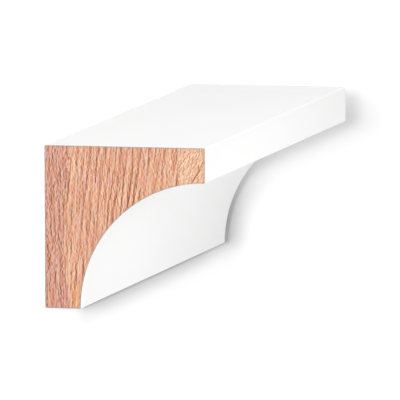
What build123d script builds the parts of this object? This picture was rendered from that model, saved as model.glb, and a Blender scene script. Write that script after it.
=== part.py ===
from build123d import *
import os

# Fascia cove moulding: a square length of planed timber with a quarter-round hollow run along it.
# It leaves a lip under the wide top face and a foot at the bottom of the wide back face.
# In use the back stands against the fascia or wall and the lip looks outwards under the roof edge.

# Driving sizes, in millimetres
cove_radius = 52.0      # hollow quarter round
lip_thickness = 14.5    # wood left above the hollow, under the top face
foot_thickness = 15.0   # wood left behind the hollow, at the bottom edge
cut_length = 250.0      # from one sawn end to the other
arris_radius = 0.5      # every long edge, just eased so that paint holds on it

# Section worked out from them
drop = lip_thickness + cove_radius         # top face to foot, down the wall
projection = foot_thickness + cove_radius  # back face to lip face, out from the wall

# The moulding lies on its back face, which is the floor plane Z = 0, with its length along Y.
# X runs from the top face to the foot, and Z out from the back face to the lip face.
# The origin is the middle of the back face.
top_face_x = -drop / 2
foot_face_x = drop / 2
lip_face_z = projection
hollow_centre = (foot_face_x, lip_face_z)

with BuildPart() as cove_moulding:
    with BuildSketch(Plane.XZ) as section:
        with BuildLine() as outline:
            hollow = CenterArc(hollow_centre, cove_radius, start_angle=180, arc_size=90)
            Polyline(
                hollow @ 1,
                (foot_face_x, 0),
                (top_face_x, 0),
                (top_face_x, lip_face_z),
                hollow @ 0,
            )
        make_face()
        fillet(section.vertices(), radius=arris_radius)
    extrude(amount=cut_length / 2, both=True)

cove_moulding.part.label = "cove_moulding"

os.makedirs("parts", exist_ok=True)
export_step(cove_moulding.part, "parts/cove_moulding.step")
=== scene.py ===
import math

import bpy
import numpy as np
from mathutils import Matrix, Vector


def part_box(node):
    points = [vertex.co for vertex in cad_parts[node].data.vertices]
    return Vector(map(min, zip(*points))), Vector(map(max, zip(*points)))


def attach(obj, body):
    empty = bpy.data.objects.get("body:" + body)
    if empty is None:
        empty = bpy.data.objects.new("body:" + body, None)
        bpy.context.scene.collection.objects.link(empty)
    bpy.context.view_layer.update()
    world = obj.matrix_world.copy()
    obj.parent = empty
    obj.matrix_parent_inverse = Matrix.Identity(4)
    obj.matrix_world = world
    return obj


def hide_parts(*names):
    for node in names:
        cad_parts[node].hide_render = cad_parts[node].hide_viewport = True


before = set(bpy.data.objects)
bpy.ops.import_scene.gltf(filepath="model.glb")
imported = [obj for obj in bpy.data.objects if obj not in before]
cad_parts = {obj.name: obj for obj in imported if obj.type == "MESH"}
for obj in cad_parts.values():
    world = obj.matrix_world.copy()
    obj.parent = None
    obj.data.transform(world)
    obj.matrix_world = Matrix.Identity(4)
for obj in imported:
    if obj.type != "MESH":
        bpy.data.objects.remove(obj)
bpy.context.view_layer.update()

# A length of cove fascia moulding: planed softwood with white primer on its five long faces.
# Both sawn ends are bare wood. It lies on its back face, with its length along Y.
# X runs from the top face to the foot, and Z from the back face to the lip face.

MM = 0.001

# Section, the same sizes as the solid, in metres
node_low, node_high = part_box("cove_moulding")
top_face_x, foot_face_x = node_low.x, node_high.x
lip_face_z = node_high.z
near_end_y, far_end_y = node_low.y, node_high.y
cove_radius = 52 * MM
arris_radius = 0.5 * MM

# Finish sizes, in metres
coat_thickness = 0.10 * MM      # dry primer
coat_bond_gap = 0.004 * MM      # keeps the coat's inner wall off the wood under it
finest_chip = 0.05 * MM         # ragged edge of the primer along a saw cut
widest_chip = 0.45 * MM         # primer torn back from a saw cut
ring_ridge = 0.035 * MM         # latewood left proud on a sawn end
plane_hollow = 0.05 * MM        # how far the wide faces dip from true

# Mesh spacing
end_spacing, end_rows = 0.45 * MM, 96        # on a sawn end: along the back, and back to hollow
coat_spacing, coat_stations = 0.4 * MM, 81   # on the primer: round the section, and along the length
arris_steps = 9                              # points round each eased edge
weld = 0.0005 * MM                           # points that share a place to this are made one
sharpest_bend = 40                           # degrees between faces that are shaded as one


# Sums that work on arrays and on shader values alike

def clamp(value):
    """The value held between 0 and 1."""
    if isinstance(value, Wire):
        return value.math("ADD", 0.0, clamped=True)
    return np.clip(value, 0, 1)


def smooth_step(low, high, value):
    """0 below low, 1 above high, and the cubic 3t^2 - 2t^3 between them."""
    share = clamp((value - low) / (high - low))
    return share * share * (3 - 2 * share)


def sine(value):
    """The sine of an angle in radians."""
    return value.math("SINE") if isinstance(value, Wire) else np.sin(value)


def absolute(value):
    """The value without its sign."""
    return value.math("ABSOLUTE") if isinstance(value, Wire) else np.abs(value)


def whole_part(value):
    """The largest whole number not above the value."""
    return value.math("FLOOR") if isinstance(value, Wire) else np.floor(value)


# Outline

def arc(centre, radius, start, end, count):
    """Points of a circle: centre + radius (cos a, sin a), with a going evenly from start to end degrees.
    The second result is the unit vector from the centre to each point."""
    angle = np.radians(np.linspace(start, end, count))
    outward = np.stack([np.cos(angle), np.sin(angle)], 1)
    return np.array(centre) + radius * outward, outward


def straight(start, end, outward, spacing):
    """Points start + t (end - start), with t even from 0 to 1, at about the given spacing. The second
    result is the same outward unit vector for each of them."""
    start, end = np.array(start), np.array(end)
    count = max(2, int(np.ceil(np.linalg.norm(end - start) / spacing)) + 1)
    share = np.linspace(0, 1, count)[:, None]
    return start + share * (end - start), np.tile(np.array(outward, float), (count, 1))


def section_runs(inset, spacing):
    """The ten runs of the section's outline, moved into the wood by inset, in order round the section.
    Straight faces move by inset, the hollow's radius grows by it and the arris radius shrinks by it, so
    the outlines of any two insets have their points on the same normals. Each run is its points and
    their outward unit vectors."""
    rounding = arris_radius - inset
    hollow = cove_radius + inset
    reach = math.sqrt((cove_radius + arris_radius) ** 2 - arris_radius ** 2)
    tip = math.degrees(math.atan2(arris_radius, reach))
    lip_x, foot_z = foot_face_x - reach, lip_face_z - reach
    left, right = top_face_x + arris_radius, foot_face_x - arris_radius
    low, high = arris_radius, lip_face_z - arris_radius
    lip_tip = arc((lip_x, high), rounding, 90, tip, arris_steps)
    foot_tip = arc((right, foot_z), rounding, 90 - tip, 0, arris_steps)
    foot_corner = arc((right, low), rounding, 0, -90, arris_steps)
    back_corner = arc((left, low), rounding, -90, -180, arris_steps)
    top_corner = arc((left, high), rounding, 180, 90, arris_steps)
    cove_steps = int(np.ceil(cove_radius * math.pi / 2 / spacing))
    cove, to_wood = arc((foot_face_x, lip_face_z), hollow, 180 + tip, 270 - tip, cove_steps)
    return {
        "lip_tip": lip_tip,
        "cove": (cove, -to_wood),
        "foot_tip": foot_tip,
        "foot_face": straight(foot_tip[0][-1], foot_corner[0][0], (1, 0), spacing),
        "foot_corner": foot_corner,
        "back_face": straight(foot_corner[0][-1], back_corner[0][0], (0, -1), spacing),
        "back_corner": back_corner,
        "top_face": straight(back_corner[0][-1], top_corner[0][0], (-1, 0), spacing),
        "top_corner": top_corner,
        "lip_face": straight(top_corner[0][-1], lip_tip[0][0], (0, 1), spacing),
    }


def joined(runs):
    """Runs end to end as one closed path. A run's first point is the last one of the run before it, so
    it is left out."""
    points = np.concatenate([run[0][1:] for run in runs])
    outward = np.concatenate([run[1][1:] for run in runs])
    return points, outward


def side_path(runs, names):
    """One side of the section as points: the named runs end to end, with only the second half of the
    first and the first half of the last, which are arrises."""
    half = arris_steps // 2
    first, *middle, last = [runs[name][0] for name in names]
    return np.concatenate([first[half:], *[points[1:] for points in middle], last[1:half + 1]])


def resampled(path, count):
    """That many points along the path, evenly by its length."""
    steps = np.linalg.norm(np.diff(path, axis=0), axis=1)
    along = np.concatenate([[0], np.cumsum(steps)]) / steps.sum()
    even = np.linspace(0, 1, count)
    return np.stack([np.interp(even, along, path[:, axis]) for axis in range(2)], 1)


# Meshes

def rolling_noise(seed, count, knots):
    """A closed random curve of count values: knots random values round a circle, with cubic steps
    between them."""
    values = np.random.default_rng(seed).random(knots)
    place = np.arange(count) / count * knots
    first = np.floor(place).astype(int)
    eased = smooth_step(0, 1, place - first)
    return values[first % knots] * (1 - eased) + values[(first + 1) % knots] * eased


def grid_faces(rows, columns, closed):
    """Quads between neighbouring points of a grid that is numbered row by row. A closed grid joins its
    last column to its first."""
    row = np.arange(rows - 1)[:, None] * columns
    column = np.arange(columns if closed else columns - 1)[None, :]
    beside = (column + 1) % columns
    corners = [row + column, row + beside, row + columns + beside, row + columns + column]
    return np.stack([corner.ravel() for corner in corners], 1)


def mesh_object(name, points, faces):
    """A mesh object at the origin, from points and quads, with points that share a place made one."""
    keys = np.round(points / weld).astype(np.int64)
    _, first, place = np.unique(keys, axis=0, return_index=True, return_inverse=True)
    merged = place.reshape(-1)[faces]
    mesh = bpy.data.meshes.new(name)
    mesh.vertices.add(len(first))
    mesh.vertices.foreach_set("co", points[first].astype(np.float32).ravel())
    mesh.loops.add(merged.size)
    mesh.loops.foreach_set("vertex_index", merged.astype(np.int32).ravel())
    mesh.polygons.add(len(merged))
    mesh.polygons.foreach_set("loop_start", np.arange(0, merged.size, 4, dtype=np.int32))
    mesh.update(calc_edges=True)
    mesh.validate()
    piece = bpy.data.objects.new(name, mesh)
    bpy.context.scene.collection.objects.link(piece)
    return piece


# Grain, shared by the wood's relief and its colour. Places are in millimetres: rise is the height up
# the section from its middle, towards the top face, and out is the distance from the back face.

seam_least, seam_height, seam_bow = 8.0, -4.0, 20.5
ring_spacing, first_ring = 2.377, -4.08       # on average, and the count at the back but for its sines
ring_lean, lean_growth = 0.14, 0.0012         # sideways for each mm up, and more for each mm out
lean_height, lean_out = 10, 30                # where the lean is measured from
strip_lean = 0.05                             # behind the seam
latewood_start, latewood_full, latewood_end = 0.38, 0.85, 0.93   # shares of a ring
crack_out, crack_height = 61.4, 18.9          # a point of the dark slanting line


def past_seam(rise, out):
    """Distance beyond the seam that parts the reddish strip at the back from the rest of the wood. The
    seam is a parabola: seam_least from the back at seam_height, and further out above and below."""
    off = (rise - seam_height) / seam_bow
    return out - seam_least - off * off


def ring_path(rise, out):
    """Distance across the growth rings. Beyond the seam it is the distance out, less the rings' lean
    times the height, plus a slow wave. In the strip behind it the rings lean a little the other way."""
    lean = ring_lean + lean_growth * (out - lean_out)
    wave = 0.126 * sine(rise * 0.097 - out * 0.185 + 3.62)
    wood = out - lean * (rise - lean_height) + wave
    strip = out + strip_lean * rise
    return strip + (wood - strip) * smooth_step(-0.1, 0.1, past_seam(rise, out))


def ring_count(path):
    """Number of growth rings up to that distance: even spacing, stretched and squeezed by two sines."""
    slow, quick = sine(path * 0.085 + 2.16), sine(path * 0.45 + 0.54)
    return path / ring_spacing + first_ring + 0.60 * slow + 0.163 * quick


def latewood(count):
    """Share of dense latewood: it rises slowly through the later part of each ring and drops at its
    end."""
    place = count - whole_part(count)
    return smooth_step(latewood_start, latewood_full, place) * (1 - smooth_step(latewood_end, 1.0, place))


def ring_strength(count, past):
    """How dark a ring's latewood is: two sines of the ring's number, times a share that is least in the
    strip behind the seam, greatest half way out, and less again beyond."""
    number = whole_part(count)
    strength = 0.57 + 0.13 * sine(number * 1.686 + 2.85) + 0.12 * sine(number * 2.428 + 3.19)
    inner, middle, outer = (smooth_step(*ends, past) for ends in ((2.0, 6.0), (16.0, 24.0), (28.0, 36.0)))
    return strength * (inner * 0.35 + middle * 0.35 - outer * 0.5 + 0.35)


def crack_distance(rise, out):
    """Distance to either side of the dark slanting line in the pale wood of the lip's tip: the place
    from a point of the line, along the line's normal."""
    return absolute((out - crack_out) * 0.85 - (rise - crack_height) * 0.52)


# The two pieces

def section_patch(inset):
    """A grid over the section, from its four sides. With a the share along the back and b the share
    from back to hollow, a point is (1 - b) back + b hollow + (1 - a) foot + a lip, less the same
    mixture of the four corners. The back side here takes in the top face. Rows run from the back."""
    runs = section_runs(inset, end_spacing)
    back = side_path(runs, ("foot_corner", "back_face", "back_corner", "top_face", "top_corner"))
    hollow = side_path(runs, ("lip_tip", "cove", "foot_tip"))[::-1]
    foot = side_path(runs, ("foot_tip", "foot_face", "foot_corner"))[::-1]
    lip = side_path(runs, ("top_corner", "lip_face", "lip_tip"))
    width = len(back)
    hollow, foot, lip = resampled(hollow, width), resampled(foot, end_rows), resampled(lip, end_rows)
    a = np.linspace(0, 1, width)[None, :, None]
    b = np.linspace(0, 1, end_rows)[:, None, None]
    across = (1 - b) * back[None] + b * hollow[None]
    along = (1 - a) * foot[:, None] + a * lip[:, None]
    corners = ((1 - a) * (1 - b) * back[0] + a * (1 - b) * back[-1]
               + (1 - a) * b * hollow[0] + a * b * hollow[-1])
    return across + along - corners


def make_timber():
    """The wood: a grid over each sawn end, pushed in by ring_ridge between the latewood lines, and the
    long sides, carried straight from the border of one grid to the border of the other."""
    patch = section_patch(coat_thickness + coat_bond_gap)
    rows, columns = patch.shape[:2]
    rise, out = -patch[..., 0] / MM, patch[..., 1] / MM
    count = ring_count(ring_path(rise, out))
    proud = latewood(count) * ring_strength(count, past_seam(rise, out))
    sink = ring_ridge * (1 - proud)
    near, far = (np.stack([patch[..., 0], place, patch[..., 1]], -1).reshape(-1, 3)
                 for place in (near_end_y + sink, far_end_y - sink))
    border = np.concatenate([
        np.arange(columns),
        np.arange(2, rows + 1) * columns - 1,
        np.arange(rows * columns - 2, (rows - 1) * columns - 1, -1),
        np.arange((rows - 2) * columns, 0, -columns),
    ])
    stations = 9
    share = np.linspace(0, 1, stations)[:, None, None]
    sides = (near[border][None] * (1 - share) + far[border][None] * share).reshape(-1, 3)
    end_faces = grid_faces(rows, columns, closed=False)
    side_faces = grid_faces(stations, len(border), closed=True)
    points = np.concatenate([near, far, sides])
    faces = np.concatenate([end_faces[:, ::-1], end_faces + len(near), side_faces + len(near) + len(far)])
    return mesh_object("timber", points, faces)


def chip_depth(seed, count):
    """How far the primer is torn back from a saw cut, round the section: a fine random curve for the
    broken line, plus deeper chips where a coarser one comes near its top."""
    fine = rolling_noise(seed, count, 330)
    coarse = rolling_noise(seed + 1, count, 150)
    deep = np.clip((coarse - 0.86) / 0.14, 0, 1)
    return finest_chip * fine + widest_chip * deep * (0.4 + 0.6 * fine)


def flatness(outward):
    """0 by the section's arrises and hollow, 1 on a wide flat face, and a straight ramp between them:
    the share of flat points among the 41 round each, from six tenths up."""
    flat = np.abs(outward).max(1) > 0.9999
    wrapped = np.concatenate([flat[-20:], flat, flat[:20]]).astype(float)
    return np.clip((np.convolve(wrapped, np.ones(41) / 41, "valid") - 0.6) / 0.4, 0, 1)


def make_primer_coat():
    """The primer: the section's outline carried along the length, as a closed shell. The outer skin is
    the true outline, less a dip of plane_hollow times a sine on the wide faces. The inner wall is the
    outline moved in by the coat's thickness. A narrow rim at each end follows the chipped edge."""
    outer, outward = joined(section_runs(0, coat_spacing).values())
    inner, _ = joined(section_runs(coat_thickness, coat_spacing).values())
    around = len(outer)
    near_edge = near_end_y + chip_depth(11, around)
    far_edge = far_end_y - chip_depth(23, around)

    def carried(path, share, dip):
        """The path at each share of the length, moved in along its normals by dip."""
        along = near_edge[None] * (1 - share[:, None]) + far_edge[None] * share[:, None]
        place = path[None] - dip[..., None] * outward[None]
        return np.stack([place[..., 0], along, place[..., 1]], -1).reshape(-1, 3)

    even = np.linspace(0, 1, coat_stations)
    share = 0.35 * even + 0.65 * (0.5 - 0.5 * np.cos(math.pi * even))   # closer together by the ends
    turn = np.arange(around) / around * 2 * math.pi
    wave = 0.5 + 0.5 * np.sin(share[:, None] * 7.3 + turn[None] * 3 + 0.5)
    skin = carried(outer, share, plane_hollow * flatness(outward)[None] * wave)
    wall_share = np.array([0.0, 0.004, 0.2, 0.4, 0.6, 0.8, 0.996, 1.0])
    wall = carried(inner, wall_share, np.zeros((len(wall_share), around)))
    skin_faces = grid_faces(len(share), around, closed=True)
    wall_start, skin_end, wall_end = len(skin), len(skin) - around, len(skin) + len(wall) - around
    wall_faces = grid_faces(len(wall_share), around, closed=True)[:, ::-1] + wall_start
    column = np.arange(around)
    beside = (column + 1) % around
    near_rim = np.stack([column, wall_start + column, wall_start + beside, beside], 1)
    far_rim = np.stack([skin_end + column, skin_end + beside, wall_end + beside, wall_end + column], 1)
    faces = np.concatenate([skin_faces, wall_faces, near_rim, far_rim])
    return mesh_object("primer_coat", np.concatenate([skin, wall]), faces)


# Shader maths

class Wire:
    """One output of a node. Arithmetic on it adds Math nodes to its tree."""

    def __init__(self, recipe, socket):
        self.recipe, self.socket = recipe, socket

    def math(self, operation, other=None, clamped=False, flipped=False):
        """A Math node on this value and the other one, which comes first when flipped."""
        pair = [other, self] if flipped else [self, other]
        inputs = {k: v for k, v in enumerate(pair) if v is not None}
        return self.recipe.node("ShaderNodeMath", {"operation": operation, "use_clamp": clamped}, inputs)

    def __add__(self, other):
        return self.math("ADD", other)

    def __sub__(self, other):
        return self.math("SUBTRACT", other)

    def __rsub__(self, other):
        return self.math("SUBTRACT", other, flipped=True)

    def __mul__(self, other):
        return self.math("MULTIPLY", other)

    def __truediv__(self, other):
        return self.math("DIVIDE", other)

    def __pow__(self, other):
        return self.math("POWER", other)

    __radd__, __rmul__ = __add__, __mul__


class Recipe:
    """A node tree under construction."""

    def __init__(self, tree):
        self.tree = tree
        tree.nodes.clear()

    def node(self, kind, settings=None, inputs=None, output=0):
        """Adds a node: its settings first, with a ramp's stops as {position: colour}, and then its
        inputs, each a number, a colour or a Wire. Returns the named output as a Wire."""
        made = self.tree.nodes.new(kind)
        for key, value in (settings or {}).items():
            if key == "stops":
                self.fill_ramp(made.color_ramp, value)
            else:
                setattr(made, key, value)
        for key, value in (inputs or {}).items():
            if isinstance(value, Wire):
                self.tree.links.new(value.socket, made.inputs[key])
            else:
                made.inputs[key].default_value = value
        return Wire(self, made.outputs[output])

    @staticmethod
    def fill_ramp(ramp, stops):
        """Gives the ramp those stops, in the order of their positions."""
        while len(ramp.elements) < len(stops):
            ramp.elements.new(0.5)
        for element, (position, shade) in zip(ramp.elements, sorted(stops.items())):
            element.position = position
            element.color = shade

    def place_mm(self):
        """The point's own place on the piece, as three wires in millimetres."""
        point = self.node("ShaderNodeTexCoord", output="Object")
        scaled = self.node("ShaderNodeVectorMath", {"operation": "SCALE"}, {0: point, "Scale": 1 / MM})
        return [self.node("ShaderNodeSeparateXYZ", None, {0: scaled}, output=axis) for axis in "XYZ"]

    def vector(self, x, y, z):
        return self.node("ShaderNodeCombineXYZ", None, {"X": x, "Y": y, "Z": z})

    def noise(self, vector, detail=2.0, roughness=0.5):
        """Fractal noise from 0 to 1, about 0.5 on average, with swells about one unit apart."""
        inputs = {"Vector": vector, "Scale": 1.0, "Detail": detail, "Roughness": roughness}
        return self.node("ShaderNodeTexNoise", {"noise_dimensions": "3D"}, inputs)

    def white(self, x, y, z):
        """A random number from 0 to 1 for each set of three numbers."""
        inputs = {"Vector": self.vector(x, y, z)}
        return self.node("ShaderNodeTexWhiteNoise", {"noise_dimensions": "3D"}, inputs)

    def ramp(self, value, stops):
        return self.node("ShaderNodeValToRGB", {"stops": stops}, {"Fac": value})

    def blend(self, share, first, second, mode="MIX"):
        """Two colours mixed by share."""
        settings = {"data_type": "RGBA", "blend_type": mode}
        return self.node("ShaderNodeMix", settings, {0: share, 6: first, 7: second}, output=2)

    def bump(self, height, strength):
        """The surface's direction once that height, in millimetres, is added to it."""
        inputs = {"Strength": strength, "Distance": MM, "Height": height}
        return self.node("ShaderNodeBump", None, inputs, output="Normal")

    def painted(self, base, roughness, normal, specular):
        """A plain painted or bare surface, as the tree's result."""
        self.finish(self.node("ShaderNodeBsdfPrincipled", None, {
            "Base Color": base, "Roughness": roughness, "Normal": normal, "Specular IOR Level": specular,
        }))

    def finish(self, surface):
        out = self.tree.nodes.new("ShaderNodeOutputMaterial")
        self.tree.links.new(surface.socket, out.inputs["Surface"])


def new_material(name):
    material = bpy.data.materials.new(name)
    material.use_nodes = True
    return material, Recipe(material.node_tree)


def colour(red, green, blue):
    """A display colour, 0 to 255, as the linear values that a material takes."""
    share = np.array([red, green, blue]) / 255
    linear = np.where(share <= 0.04045, share / 12.92, ((share + 0.055) / 1.055) ** 2.4)
    return (*(float(v) for v in linear), 1.0)


def grey(level):
    """A linear grey."""
    return (level, level, level, 1.0)


# Finishes. Streaks are given by width and length in millimetres and a seed.

fibre_streak, bar_streak, strand_streak = (0.42, 1.3, 3.1), (0.74, 6.0, 5.3), (0.60, 11.0, 8.7)
speckle_streak = (0.45, 1.0, 12.3)
fibre_weight = (0.70, 0.44)   # behind the seam, and beyond it
bar_weight = (0.32, 0.29)
strand_weight = (0.26, 0.34)
mean_tone, mean_latewood = 0.585, 0.16
streak_depth, ring_depth, seam_depth = 1.12, 0.52, 0.10   # how far each moves the tone

heart_shades = {0.0: colour(147, 85, 58), 0.5: colour(230, 165, 135), 1.0: colour(255, 220, 193)}
sap_shades = {0.0: colour(172, 110, 76), 0.5: colour(233, 180, 146), 1.0: colour(255, 224, 194)}
band_start, band_reach = 10, 60   # mm before the seam, and from there to the band's far end
band_shades = {
    0.00: colour(240, 228, 237), 0.155: colour(241, 231, 240), 0.175: colour(254, 252, 253),
    0.20: colour(255, 254, 255), 0.36: colour(253, 248, 250), 0.6: colour(254, 252, 252),
}
tints = (   # seed, swells a millimetre across the grain, and the two tints
    (4.0, 0.6, colour(255, 251, 241), colour(249, 251, 255)),
    (9.0, 0.4, colour(251, 255, 249), colour(255, 249, 254)),
)
amber = colour(255, 248, 228)
border_brown = colour(150, 92, 62)
# grey laid over the sawn ends along their outline, darker than the wood there
grey_rim_colour = colour(172, 166, 160)
sap_start = 55.5      # mm from the back
rim_width = 1.25      # mm of a sawn end, along its outline, that the grey rim covers
saw_axle = (95, -80)  # mm, beyond the foot and the back
primer_shades = {0.0: (0.865, 0.865, 0.862, 1.0), 1.0: (0.90, 0.90, 0.897, 1.0)}
knife_pitch = 1.6     # mm between the planer's marks


def streaks(recipe, path, rise, width, length, seed):
    """Fibre streaks: the path is cut into lines of that width, each line into stretches of that length
    with a random start, and each stretch has a random value of its own. Six tenths of the next line's
    value are taken off, so that dark and light lines lie side by side. About 0 on average."""
    def value(line):
        shift = recipe.white(line, 0.0, seed + 0.5)
        return recipe.white(line, whole_part(rise / length + shift * 9), seed)

    line = whole_part(path / width)
    return value(line) - value(line + 1) * 0.6 - 0.2


def between(pair, share):
    """The first of the two numbers where share is 0, and the second where it is 1."""
    return pair[0] + (pair[1] - pair[0]) * share


def heartwood(recipe, x, rise, out, path, past, late):
    """The wood's colour short of the sapwood, and its fibre and strand streaks. Short fibres and bars run
    nearly upright, and strands half way between that and the rings. The streaks and the latewood give a
    tone, which picks the shade. A band across the section, two slow tints and an amber patch by the foot
    then multiply it."""
    beyond = smooth_step(-0.3, 0.3, past)
    upright = out + 0.02 * (1 - beyond) * rise - 0.015 * beyond * (rise - lean_height)
    fibre = streaks(recipe, upright, rise, *fibre_streak)
    bar = streaks(recipe, upright, rise, *bar_streak)
    strand = streaks(recipe, (path + upright) * 0.5, rise, *strand_streak)
    seam = smooth_step(-0.8, -0.2, past) * (1 - smooth_step(0.1, 0.4, past))
    streak = (fibre * between(fibre_weight, beyond) + bar * between(bar_weight, beyond)
              + strand * between(strand_weight, beyond))
    tone = mean_tone + streak * streak_depth - (late - mean_latewood) * ring_depth - seam * seam_depth
    heart = recipe.ramp(clamp(tone), heart_shades)
    band = recipe.ramp((past + band_start) / band_reach, band_shades)
    heart = recipe.blend(1.0, heart, band, "MULTIPLY")
    for seed, swells, low, high in tints:
        hue = recipe.noise(recipe.vector(upright * swells, rise * 0.13, seed), roughness=0.6)
        tint = recipe.blend(clamp(0.5 + (hue - 0.5) * 3.4), low, high)
        heart = recipe.blend(1.0, heart, tint, "MULTIPLY")
    by_foot = smooth_step(1.0, 2.5, past) * smooth_step(20.0, 27.0, x)
    return recipe.blend(by_foot, heart, amber, "MULTIPLY"), fibre, strand


def end_grain_material():
    """Bare sawn softwood: growth rings, streaks that run nearly along them, and a paler patch of sapwood
    at the lip's tip, with short slanting streaks, a dark slanting line and a thin dark border. A grey
    band runs round the rim, and the saw has left faint arcs."""
    material, recipe = new_material("sawn_end_grain")
    x, _, out = recipe.place_mm()
    rise = x * -1
    path = ring_path(rise, out)
    past = past_seam(rise, out)
    count = ring_count(path)
    late = latewood(count) * ring_strength(count, past)
    heart, fibre, strand = heartwood(recipe, x, rise, out, path, past, late)
    slant_across, slant_along = out * 0.88 - rise * 0.47, rise * 0.88 + out * 0.47
    speckle = streaks(recipe, slant_across, slant_along, *speckle_streak)
    blot = recipe.noise(recipe.vector(out * 0.55, rise * 0.55, 7.0), roughness=0.6) - 0.5
    crack = 1 - smooth_step(0.15, 0.55, crack_distance(rise, out))
    sap = recipe.ramp(clamp(0.60 + speckle * 0.62 + blot * 0.9 - crack * 0.34), sap_shades)
    margin = out - sap_start + blot * 1.6
    wood = recipe.blend(smooth_step(-0.2, 0.2, margin), heart, sap)
    border = (1 - smooth_step(0.2, 0.6, absolute(margin))) * clamp(0.5 + speckle * 1.4)
    wood = recipe.blend(border * 0.35, wood, border_brown)
    # a grey band, six tenths strong, along the outline of the sawn end
    rim = (1 - smooth_step(0.0, rim_width, edge_distance(x, out))) * 0.6
    wood = recipe.blend(rim, wood, grey_rim_colour)
    saw = sine(distance_from(saw_axle, x, out) * 5.2)
    height = late * 0.010 + fibre * 0.03 + strand * 0.02 + saw * 0.003
    recipe.painted(wood, 0.78 + fibre * 0.15, recipe.bump(height, 1.0), 0.25)
    return material


def distance_from(point, x, out):
    """Distance in millimetres from that point of the section."""
    across, up = x - point[0], out - point[1]
    return (across * across + up * up) ** 0.5


def edge_distance(x, out):
    """Distance in millimetres from a point of the sawn end to the section's outline: the least of its
    distances to the four straight faces and to the hollow's circle."""
    foot, lip = foot_face_x / MM, lip_face_z / MM
    from_cove = distance_from((foot, lip), x, out) - cove_radius / MM
    least = x - top_face_x / MM
    for other in (foot - x, lip - out, out, from_cove):
        least = least.math("MINIMUM", other)
    return least


def primer_material():
    """Factory white primer on planed softwood: near white, satin to matt, with faint lengthwise grain
    under it, a slight cloudiness, the roller's peel and the planer's marks."""
    material, recipe = new_material("white_primer")
    x, y, z = recipe.place_mm()
    grain = recipe.noise(recipe.vector(x * 1.1, y * 0.018, z * 1.1), detail=3.0, roughness=0.6)
    cloud = recipe.noise(recipe.vector(x * 0.03, y * 0.012, z * 0.03))
    peel = recipe.noise(recipe.vector(x * 0.9, y * 0.9, z * 0.9), detail=1.0)
    knife = sine(y * (2 * math.pi / knife_pitch))
    tone = clamp(0.5 + (grain - 0.5) * 0.5 + (cloud - 0.5) * 0.8)
    height = grain * 0.012 + peel * 0.006 + knife * 0.0006
    white = recipe.ramp(tone, primer_shades)
    recipe.painted(white, 0.52 + (grain - 0.5) * 0.12, recipe.bump(height, 0.6), 0.35)
    return material


# Studio

camera_azimuth, camera_elevation, camera_roll = -6.31, 13.50, 91.23   # degrees
camera_distance = 7.606
camera_aim = (0.03368, -0.00239)   # from the origin, right and up in the picture
half_view = 0.62                   # degrees
sensor = 36.0                      # mm

sky_level = 0.52
lamp_aim = (0, -0.05, 0.03)
moulding_lamps = {   # place and size in metres, level
    "top_lamp": ((-1.5, -0.3, 0.6), 0.6, 0.57),
    "front_lamp": ((-0.25, -1.5, 0.45), 0.4, 0.39),
    "cove_lamp": ((0.27, -0.07, 0.31), 0.15, 0.485),
}
shadow_lamps = {   # azimuth, height and softness in degrees, level
    "near_shadow_lamp": (-6.3, 12.0, 1.2, 1.36),
    "low_shadow_lamp": (-6.3, 9.0, 5.0, 2.19),
    "side_shadow_lamp": (-30.0, 18.0, 28.0, 1.92),
}
floor_reach = 6.0
floor_tone, floor_bounce = 0.16, 0.094   # to the camera, and to light that goes on to the moulding
floor_lift, near_lift = 0.24, 0.35       # the floor's own light, beside the moulding and by its near end
near_floor = (-78.0, -54.0)              # where one gives way to the other, in mm along the length


def towards(azimuth, height):
    """The unit vector that points that far round from -Y towards +X and that far up, in degrees."""
    azimuth, height = math.radians(azimuth), math.radians(height)
    level = math.cos(height)
    return Vector((math.sin(azimuth) * level, -math.cos(azimuth) * level, math.sin(height)))


def camera_axes():
    """Right, up and back of the camera. Back is the direction from the moulding to the camera, and
    right and up are turned about it by the roll."""
    azimuth, roll = math.radians(camera_azimuth), math.radians(camera_roll)
    back = towards(camera_azimuth, camera_elevation)
    level = Vector((math.cos(azimuth), math.sin(azimuth), 0))
    upright = back.cross(level)
    right = level * math.cos(roll) + upright * math.sin(roll)
    up = upright * math.cos(roll) - level * math.sin(roll)
    return right, up, back


def make_camera():
    """A very long lens far away, because the photograph shows no perspective. It is turned on its side,
    because the moulding is shown as it is fixed, with its top face up, and lies here on its back."""
    right, up, back = camera_axes()
    data = bpy.data.cameras.new("camera")
    data.sensor_width = sensor
    data.lens = sensor / 2 / math.tan(math.radians(half_view))
    data.clip_start, data.clip_end = 0.5, 20
    camera = bpy.data.objects.new("camera", data)
    place = back * camera_distance + right * camera_aim[0] + up * camera_aim[1]
    camera.matrix_world = Matrix.Translation(place) @ Matrix((right, up, back)).transposed().to_4x4()
    bpy.context.scene.collection.objects.link(camera)
    bpy.context.scene.camera = camera


def hang(name, data, place, backward, lit):
    """Puts the lamp at its place, shining against backward, on the objects in lit alone."""
    lamp = bpy.data.objects.new(name, data)
    lamp.location = place
    lamp.rotation_euler = backward.to_track_quat("Z", "Y").to_euler()
    lamp.visible_camera = False
    bpy.context.scene.collection.objects.link(lamp)
    receivers = bpy.data.collections.new(name + "_lights")
    for thing in lit:
        receivers.objects.link(thing)
    lamp.light_linking.receiver_collection = receivers


def make_lamp(name, place, size, level, lit):
    """A soft square lamp that the camera doesn't see and that lights only the objects in lit. level is
    the brightness that it gives a white surface facing it at its aim: power = level pi^2 distance^2."""
    place, aim = Vector(place), Vector(lamp_aim)
    data = bpy.data.lights.new(name, "AREA")
    data.shape, data.size = "SQUARE", size
    data.energy = level * (math.pi * (place - aim).length) ** 2
    hang(name, data, place, place - aim, lit)


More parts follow.
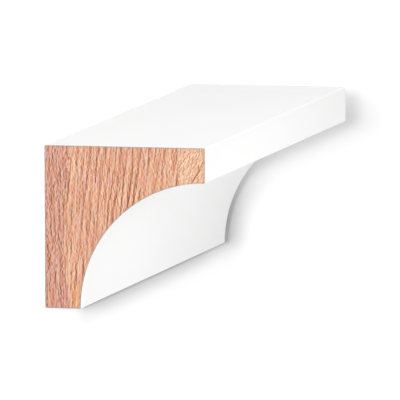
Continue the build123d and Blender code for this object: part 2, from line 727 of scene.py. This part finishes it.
def make_shadow_lamp(name, azimuth, height, softness, level, floor):
    """A distant lamp that lights only the floor and throws the moulding's soft shadow on it. level is
    the brightness that it gives a white floor: strength = level pi / sin(height)."""
    data = bpy.data.lights.new(name, "SUN")
    data.angle = math.radians(softness)
    data.energy = level * math.pi / math.sin(math.radians(height))
    backward = towards(azimuth, height)
    hang(name, data, backward, backward, [floor])


def ray_kind(recipe, name):
    """1 where the ray that looks is of that kind, and otherwise 0."""
    return recipe.node("ShaderNodeLightPath", None, None, "Is %s Ray" % name)


def make_world():
    """Even light, and plain white where the camera, a gloss or a clear surface looks at it."""
    world = bpy.data.worlds.new("studio")
    world.use_nodes = True
    bpy.context.scene.world = world
    recipe = Recipe(world.node_tree)
    camera, gloss, clear = (ray_kind(recipe, name) for name in ("Camera", "Glossy", "Transmission"))
    plain = clamp(camera + gloss + clear)
    strength = sky_level + (1 - sky_level) * plain
    background = recipe.node("ShaderNodeBackground", None, {"Color": grey(1.0), "Strength": strength})
    out = world.node_tree.nodes.new("ShaderNodeOutputWorld")
    world.node_tree.links.new(background.socket, out.inputs["Surface"])


def make_floor():
    """A wide pale floor under the back face. To the camera it has a little light of its own, so that
    its lit part is plain white and only the moulding's shadow shows on it. By the near end it has more,
    so that no shadow shows under the foot there."""
    mesh = bpy.data.meshes.new("floor")
    corners = np.array([(-1, -1, 0), (1, -1, 0), (1, 1, 0), (-1, 1, 0)]) * floor_reach
    mesh.from_pydata(corners.tolist(), [], [(0, 1, 2, 3)])
    floor = bpy.data.objects.new("floor", mesh)
    bpy.context.scene.collection.objects.link(floor)
    material, recipe = new_material("pale_floor")
    y = recipe.place_mm()[1]
    glow = recipe.ramp(smooth_step(*near_floor, y), {0.0: grey(near_lift), 1.0: grey(floor_lift)})
    lift = recipe.node("ShaderNodeEmission", None, {"Color": glow, "Strength": 1.0})
    bounce = recipe.node("ShaderNodeBsdfDiffuse", None, {"Color": grey(floor_bounce)})
    lit = recipe.node("ShaderNodeBsdfDiffuse", None, {"Color": grey(floor_tone)})
    shown = recipe.node("ShaderNodeAddShader", None, {0: lit, 1: lift})
    seen = ray_kind(recipe, "Camera")
    recipe.finish(recipe.node("ShaderNodeMixShader", None, {0: seen, 1: bounce, 2: shown}))
    mesh.materials.append(material)
    return floor


timber = make_timber()
timber.data.materials.append(end_grain_material())
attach(timber, "root")
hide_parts("cove_moulding")

primer_coat = make_primer_coat()
primer_coat.data.materials.append(primer_material())
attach(primer_coat, "root")
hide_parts("cove_moulding")

for piece in (timber, primer_coat):
    piece.data.polygons.foreach_set("use_smooth", np.ones(len(piece.data.polygons), bool))
    piece.data.set_sharp_from_angle(angle=math.radians(sharpest_bend))

floor = make_floor()
make_world()
for name, (place, size, level) in moulding_lamps.items():
    make_lamp(name, place, size, level, [timber, primer_coat])
for name, (azimuth, height, softness, level) in shadow_lamps.items():
    make_shadow_lamp(name, azimuth, height, softness, level, floor)
make_camera()
bpy.context.scene.view_settings.view_transform = "Standard"
